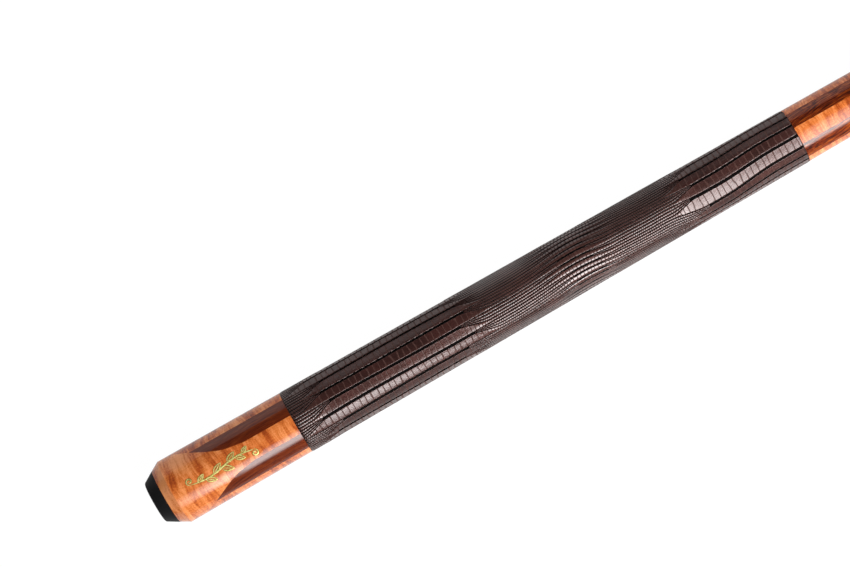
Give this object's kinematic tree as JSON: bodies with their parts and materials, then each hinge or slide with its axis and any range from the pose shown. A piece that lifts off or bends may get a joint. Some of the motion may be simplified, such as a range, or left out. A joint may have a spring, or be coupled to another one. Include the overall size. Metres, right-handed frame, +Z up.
{
  "type": "pool cue",
  "caption": "Two-piece pool cue: butt with spliced wood wedges and an embossed leather grip, matte tapered shaft, rubber bumper.",
  "frame": {"origin": "centre of the bumper's flat face", "axes": "+X along the cue to its tip, +Z up through the middle of one maple panel"},
  "size_m": [1.4732, 0.032, 0.032],
  "materials": {
    "figured_maple": "amber-stained curly maple, clear gloss lacquer",
    "rosewood": "dark red-brown stripes, clear gloss lacquer",
    "core_maple": "bare turned maple",
    "brown_leather": "embossed, semi-gloss",
    "black_rubber": "matte moulded",
    "steel": "turned",
    "brass": "turned",
    "black_phenolic": "polished",
    "black_composite": "matte coat",
    "foam": "closed-cell filling",
    "white_ferrule": "polished",
    "tip_leather": "pressed, sanded"
  },
  "bodies": {
    "butt": {"handle": "core_maple", "leather_wrap": "brown_leather", "handle_screw": "steel", "forearm_core": "core_maple", "joint_collar": "black_phenolic", "joint_pin": "steel", "sleeve_end_maple": "figured_maple", "forearm_end_maple": "figured_maple", "sleeve_maple_1": "figured_maple", "sleeve_maple_2": "figured_maple", "sleeve_maple_3": "figured_maple", "sleeve_maple_4": "figured_maple", "sleeve_maple_5": "figured_maple", "sleeve_rosewood_1": "rosewood", "sleeve_rosewood_2": "rosewood", "sleeve_rosewood_3": "rosewood", "sleeve_rosewood_4": "rosewood", "sleeve_rosewood_5": "rosewood", "forearm_maple_1": "figured_maple", "forearm_maple_2": "figured_maple", "forearm_maple_3": "figured_maple", "forearm_maple_4": "figured_maple", "forearm_maple_5": "figured_maple", "forearm_rosewood_1": "rosewood", "forearm_rosewood_2": "rosewood", "forearm_rosewood_3": "rosewood", "forearm_rosewood_4": "rosewood", "forearm_rosewood_5": "rosewood"},
    "bumper": {"bumper": "black_rubber"},
    "weight_bolt": {"weight_bolt": "steel"},
    "shaft": {"shaft_tube": "black_composite", "shaft_insert": "brass", "foam_core": "foam", "ferrule": "white_ferrule", "tip_pad": "black_phenolic", "tip": "tip_leather"}
  },
  "joints": [
    {"name": "shaft_draw", "type": "slide", "parent": "butt", "child": "shaft", "axis": [1, 0, 0], "range_m": [0, 0.045]},
    {"name": "bumper_pull", "type": "slide", "parent": "butt", "child": "bumper", "axis": [-1, 0, 0], "range_m": [0, 0.025]},
    {"name": "weight_travel", "type": "slide", "parent": "butt", "child": "weight_bolt", "axis": [-1, 0, 0], "range_m": [0, 0.03]}
  ]
}
